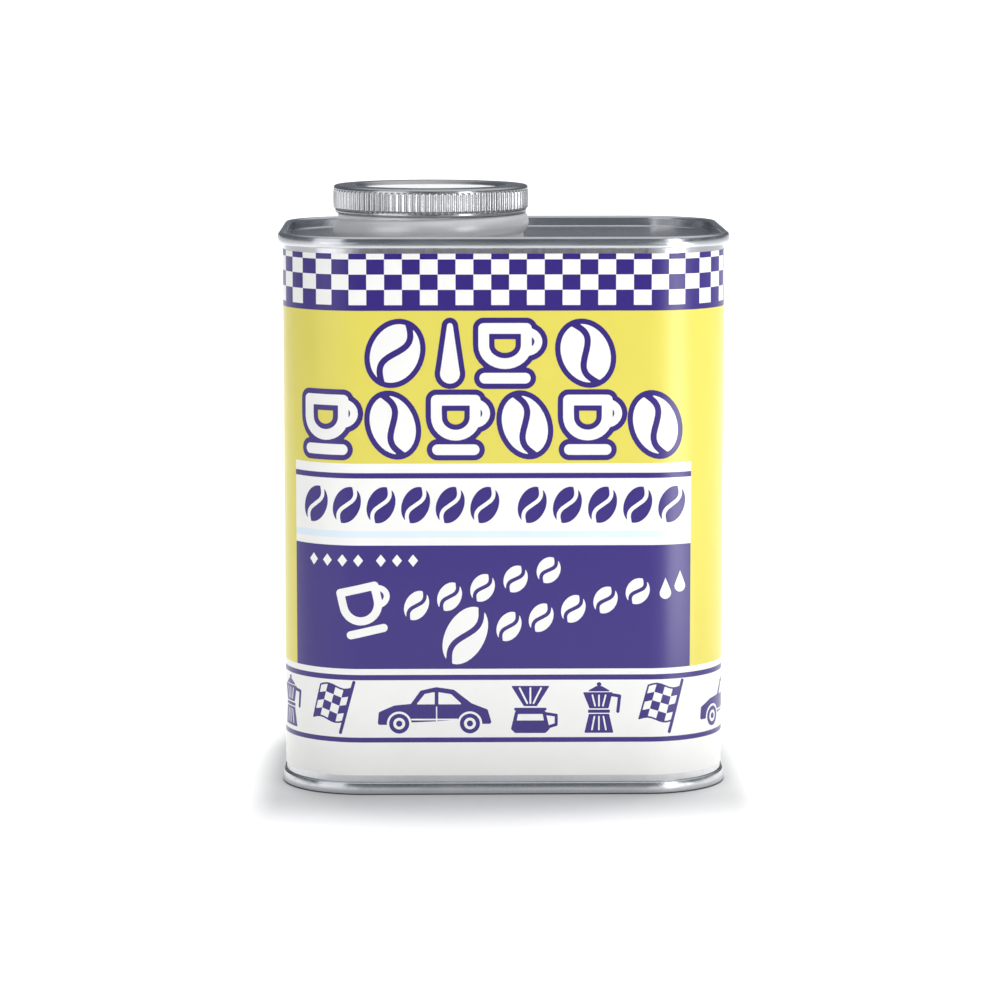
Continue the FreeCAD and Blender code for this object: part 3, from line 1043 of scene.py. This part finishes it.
def print_panel(shift):
    """The purple panel's drawing: a row of small marks, and a cup and a bean with beans rising from them."""
    back = "_back" if shift else ""
    for number in range(7):
        s = -47.2 + 3.9 * number + (1.6 if number > 3 else 0) + shift
        mark = filled([(s, 59.1), (s + 1.2, 57.6), (s, 56.1), (s - 1.2, 57.6)])
        print_shape(f"panel_mark_{number + 1}{back}", mark, (s - 2, 55), (s + 2, 60), "white", 1, 0.1)
    cup = cup_outline(12.6, 12.6, 2.0)
    places = [("cup", cup, -33.6, 45.6, 9.5), ("great_bean", bean(9.6, 15.2, 1.4), -9.6, 39.2, 10.0)]
    for number in range(5):
        rise = 2.15 * number
        small = bean(5.6, 7.6 - 0.25 * number, 0.9)
        places.append((f"upper_bean_{number + 1}", small, -21.4 + 8.0 * number, 46.6 + rise, 5.5))
        places.append((f"lower_bean_{number + 1}", small, 1.0 + 7.8 * number, 41.4 + rise, 5.5))
    for name, drawing, s, z, reach in places:
        s += shift
        shape = moved(drawing, s, z, 13 if name == "cup" else -28)
        print_shape(f"panel_{name}{back}", shape, (s - reach, z - reach), (s + reach, z + reach), "white")
    for number, place in enumerate((39.0, 42.8)):
        s = place + shift
        shape = moved(drop(2.9, 5.2), s, 50.6 + 1.6 * number)
        print_shape(f"panel_drop_{number + 1}{back}", shape, (s - 3, 46), (s + 3, 57), "white", 1, 0.1)


# ---- pictures of the lower frieze
# Each is drawn about x = 0, from z = 0 at its foot to about z = 12.


def stove_pot():
    """Two-part stove pot with a lid, a knob, a spout and a handle."""
    lower = filled([(-3.3, 0.3), (3.3, 0.3), (2.3, 4.6), (-2.3, 4.6)], 0.2)
    belt = filled([(-2.5, 5.2), (2.5, 5.2), (2.5, 5.7), (-2.5, 5.7)], 0.15)
    upper = filled([(-2.2, 6.3), (2.2, 6.3), (3.1, 10.0), (-3.7, 10.0)], 0.15)
    lid = filled([(-2.4, 10.5), (2.4, 10.5), (0.7, 11.5), (-0.7, 11.5)], 0.15)
    handle = stroke([(2.6, 9.6), (5.0, 9.2), (4.6, 5.4)], 0.8)
    facets = [stroke([(x * 0.6, 6.8), (x, 9.4)], 0.4) for x in (-1.6, 0, 1.6)]
    facets += [stroke([(x, 0.9), (x * 0.65, 4.1)], 0.4) for x in (-1.7, 0, 1.7)]
    return cut(union(lower, belt, upper, lid, disc(0, 12.1, 0.55), handle), *facets)


def check_flag():
    """A flag of checks that flies to the left of a slanted pole."""
    side = 2.05
    lean = 0.27

    def place(x, z):
        return (x + lean * z - 5.6, 3.6 + z + 0.55 * math.sin(x * 0.75) - 0.06 * x)

    squares = []
    for row in range(4):
        for column in range(4):
            if (row + column) % 2 == 0:
                corners = ((column, row), (column + 1, row), (column + 1, row + 1), (column, row + 1))
                squares.append(filled([place(x * side, z * side) for x, z in corners]))
    lower = [place(side * number / 2, 0) for number in range(9)]
    upper = [place(side * number / 2, side * 4) for number in range(9)]
    border = stroke(lower + upper[::-1] + lower[:1], 0.42)
    pole = stroke([(1.9, 0.2), (5.3, 12.7)], 0.8)
    return union(*squares, border, pole)


def small_car():
    """A plain little car seen from the side."""
    side = [(-13.2, 2.7), (-13.0, 5.0), (-9.6, 6.5), (-5.4, 6.9), (9.0, 7.0), (12.6, 5.6), (13.4, 2.9)]
    body = filled(side, 0.5)
    cabin = filled([(-5.6, 6.6), (-3.0, 10.2), (0.5, 11.0), (4.6, 10.4), (9.2, 6.8)], 0.5)
    windows = [
        filled([(-4.0, 7.4), (-2.2, 9.7), (0.0, 10.1), (0.0, 7.4)], 0.15),
        filled([(1.2, 7.4), (1.2, 10.1), (4.1, 9.6), (6.4, 7.4)], 0.15),
    ]
    door = stroke([(0.6, 3.2), (0.6, 6.6)], 0.3)
    sill = stroke([(-5.4, 3.5), (5.6, 3.5)], 0.4)
    shape = cut(union(body, cabin), *windows, door, sill)
    for x in (-8.5, 8.7):
        wheel = cut(disc(x, 2.5, 2.45), disc(x, 2.5, 1.45))
        shape = union(cut(shape, disc(x, 2.5, 3.0)), wheel, disc(x, 2.5, 0.75))
    return shape


def dripper():
    """A filter cone on a glass jug with a handle."""
    cone = filled([(-4.4, 11.6), (4.4, 11.6), (1.5, 6.9), (-1.5, 6.9)], 0.15)
    folds = [stroke([(x, 11.2), (x * 0.3, 7.5)], 0.45) for x in (-2.6, 0, 2.6)]
    plate = stroke([(-3.6, 6.0), (3.6, 6.0)], 0.7)
    jug_points = [(-3.4, 5.3), (3.4, 5.3), (4.4, 1.2), (3.6, 0.4), (-3.6, 0.4), (-4.4, 1.2)]
    jug = filled(jug_points, 0.3)
    glass = filled([(-2.9, 4.7), (2.9, 4.7), (3.2, 3.3), (-3.2, 3.3)], 0.1)
    handle = stroke([(3.7, 4.9), (6.3, 4.5), (6.3, 2.2), (4.4, 1.6)], 0.75)
    return union(cut(cone, *folds), plate, cut(jug, glass), handle)


def print_frieze():
    """The four pictures in turn, all the way round."""
    period = 80.3
    pictures = [
        ("flag", check_flag(), -42.0, 9.0),
        ("car", small_car(), -17.2, 15.0),
        ("dripper", dripper(), 6.2, 7.5),
        ("pot", stove_pot(), 22.9, 6.0),
    ]
    foot = 15.0
    for repeat in range(-2, 3):
        for name, drawing, s, reach in pictures:
            place = s + period * repeat
            if not -ROUND / 2 + 12 < place < ROUND / 2 - 8:
                continue
            shape = moved(drawing, place, foot)
            low, high = (place - reach, foot - 1), (place + reach, foot + 13.5)
            print_shape(f"frieze_{name}_{repeat + 3}", shape, low, high, "purple", 1, 0.1)


def make_print():
    for shift in (0, ROUND / 2):
        print_title(shift)
        print_bean_row(shift)
        print_panel(shift)
    print_frieze()


# ---- CAD nodes that are shown as they are


def dress_nodes():
    dressed = {
        "body_wall": TINPLATE_BODY,
        "top_seam_compound": COMPOUND,
        "bottom_seam_compound": COMPOUND,
        "neck_gasket": COMPOUND,
        "cap_liner": PULPBOARD,
        "liner_facing": FILM,
    }
    for node, material in dressed.items():
        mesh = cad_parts[node].data
        mesh.materials.clear()
        mesh.materials.append(material)


# ---- floor, lights and camera


SWEEP_PAPER = (0.72, 0.72, 0.72, 1)
# Painted shade: near black under the tin's foot, for a dark contact line
PAINTED_CONTACT_SHADE = (0.01, 0.01, 0.01, 1)
# Painted shade: a dark floor that the metal reflects where unlit surroundings would be
PAINTED_SHADE_FLOOR = (0.12, 0.125, 0.14, 1)
# Painted light: the floor glows, more far from the tin than near it, and not at all beside it
GLOW_NEAR = (0.5, 0.5, 0.5, 1)
GLOW_FAR = (0.9, 0.9, 0.9, 1)
NO_GLOW = (0, 0, 0, 1)
# How much of the dark floor, which is painted shade, shows in the strip in front and at the sides
FLOOR_STRIP = 0.9
FLOOR_SIDES = 0.45
# Distances from the middle of the tin, in metres, over which the floor changes
STRIP_AHEAD = (0.42, 0.7)
STRIP_SIDEWAYS = (0.4, 0.7)
SIDES = (0.6, 1.3)
SHADED_SIDEWAYS = (0.054, 0.066)
SHADED_LENGTHWAYS = (0.042, 0.088)
FAR = (0.7, 2.5)


def paper_material():
    """White sweep paper that a painted glow makes bright away from the tin, with a painted shadow beside the
    tin where the glow is left out, a painted dark contact line under its foot, and painted shade in a dark
    strip far in front and in greyer sides.
    """
    material, graph, shader = new_material("sweep_paper")
    place = graph.add("TexCoord", "Object", {})
    ahead = graph.math("MULTIPLY", graph.add("SeparateXYZ", "Y", {"Vector": place}), -1)
    one_quarter = graph.vector("ABSOLUTE", place)
    sideways = graph.add("SeparateXYZ", "X", {"Vector": one_quarter})
    lengthways = graph.add("SeparateXYZ", "Y", {"Vector": one_quarter})
    beyond = graph.vector("SUBTRACT", one_quarter, (FLAT_X * MM, FLAT_Y * MM, 0))
    beyond = graph.vector("LENGTH", graph.vector("MAXIMUM", beyond), output="Value")
    # Painted shade: the floor under the tin's foot, and up to 0.4 mm past its edge, is near black, a dark
    # contact line
    foot = (CORNER + BASE_PROUD) * MM
    clear = graph.mask(beyond, (foot - 0.0006, foot + 0.0004))
    # Painted shade: a dark strip far in front and greyer sides, with no glow there
    strip = graph.mask(sideways, STRIP_SIDEWAYS, FLOOR_STRIP, 0)
    strip = graph.math("MULTIPLY", strip, graph.mask(ahead, STRIP_AHEAD))
    dark = graph.math("MAXIMUM", strip, graph.mask(sideways, SIDES, 0, FLOOR_SIDES))
    paper = graph.mix(clear, PAINTED_CONTACT_SHADE, SWEEP_PAPER)
    graph.put(shader["Base Color"], graph.mix(dark, paper, PAINTED_SHADE_FLOOR))
    # Painted light and shadow: the floor glows away from the tin, brighter far off, and the glow is left out
    # beside the tin as a painted shadow
    shaded = graph.mask(sideways, SHADED_SIDEWAYS, 1, 0)
    shaded = graph.math("MULTIPLY", shaded, graph.mask(lengthways, SHADED_LENGTHWAYS, 1, 0))
    far = graph.mask(graph.vector("LENGTH", place, output="Value"), FAR)
    glow = graph.mix(far, graph.mix(shaded, GLOW_NEAR, NO_GLOW), GLOW_FAR)
    graph.put(shader["Emission Color"], graph.mix(dark, glow, NO_GLOW))
    graph.put(shader["Emission Strength"], 1.0)
    graph.put(shader["Roughness"], 0.8)
    graph.put(shader["Specular IOR Level"], 0.1)
    return material


def make_floor():
    """A wide pale floor that curves up a little at its far edge."""
    flat = 3.0
    profile = [(flat, 0.0)]
    for turn in np.linspace(0.1, 1.57, 12):
        profile.append((flat + 0.6 * math.sin(turn), 0.2 * (1 - math.cos(turn))))
    columns = 96
    vertices = [(0, 0, 0)]
    faces = []
    for row, (radius, z) in enumerate(profile):
        for column in range(columns):
            turn = 2 * math.pi * column / columns
            vertices.append((radius * math.cos(turn), radius * math.sin(turn), z))
            here = 1 + row * columns
            after = (column + 1) % columns
            if row == 0:
                faces.append((0, here + column, here + after))
            else:
                faces.append((here - columns + column, here + column, here + after, here - columns + after))
    mesh = bpy.data.meshes.new("floor")
    mesh.from_pydata(vertices, [], faces)
    mesh.materials.append(paper_material())
    mesh.shade_smooth()
    floor = bpy.data.objects.new("floor", mesh)
    bpy.context.scene.collection.objects.link(floor)


def area_light(name, place, target, size, radiance, reflected=True):
    """A softbox at a place, facing a target, with its own brightness as the camera would see it."""
    light = bpy.data.lights.new(name, "AREA")
    light.shape = "RECTANGLE"
    light.size, light.size_y = size
    light.energy = radiance * math.pi * size[0] * size[1]
    lamp = bpy.data.objects.new(name, light)
    lamp.location = place
    lamp.rotation_euler = (Vector(target) - Vector(place)).to_track_quat("-Z", "Y").to_euler()
    lamp.visible_camera = False
    lamp.visible_glossy = reflected
    bpy.context.scene.collection.objects.link(lamp)


def around(azimuth, distance, height):
    """A place at an azimuth in degrees from straight in front of the tin, positive towards +X."""
    turn = math.radians(azimuth)
    return (distance * math.sin(turn), -distance * math.cos(turn), height)


def make_lights():
    area_light("key", around(40, 0.52, 0.16), (0, 0, 0.16), (0.13, 0.32), 3.5)
    area_light("kick", (0, -0.3, 0.03), (0, 0, 0.03), (0.4, 0.06), 1.3, reflected=False)
    area_light("low_key", around(52, 0.62, 0.035), (0, 0, 8), (0.16, 0.8), 5.0)
    area_light("fill", around(-48, 1.1, 0.42), (0, 0, 0.3), (0.8, 0.8), 0.95)
    area_light("back", (0.2, 0.9, 1.2), (0, 0, 0), (2.2, 1.2), 3.2, reflected=False)
    world = bpy.data.worlds.new("studio")
    bpy.context.scene.world = world
    graph = Graph(world)
    direction = graph.add("TexCoord", "Generated", {})
    up_and_right = graph.vector("DOT_PRODUCT", direction, (0.18, 0, 1), "Value")
    raised = graph.mask(up_and_right, (0.35, 0.85))
    background = graph.nodes["Background"].inputs
    graph.put(background["Color"], graph.mix(raised, (0.15, 0.165, 0.19, 1), (0.82, 0.825, 0.835, 1)))
    graph.put(background["Strength"], 1.0)


def make_camera():
    data = bpy.data.cameras.new("camera")
    data.sensor_width = 36
    data.lens = 137.16
    camera = bpy.data.objects.new("camera", data)
    camera.location = (-0.01494, -0.95262, 0.19607)
    camera.rotation_euler = (math.radians(82.27), 0, math.radians(-0.865))
    bpy.context.scene.collection.objects.link(camera)
    bpy.context.scene.camera = camera


bpy.context.scene.view_settings.view_transform = "Standard"
make_camera()
make_floor()
make_lights()
dress_nodes()
make_ends()
make_neck()
make_cap()
make_wrap()
make_print()
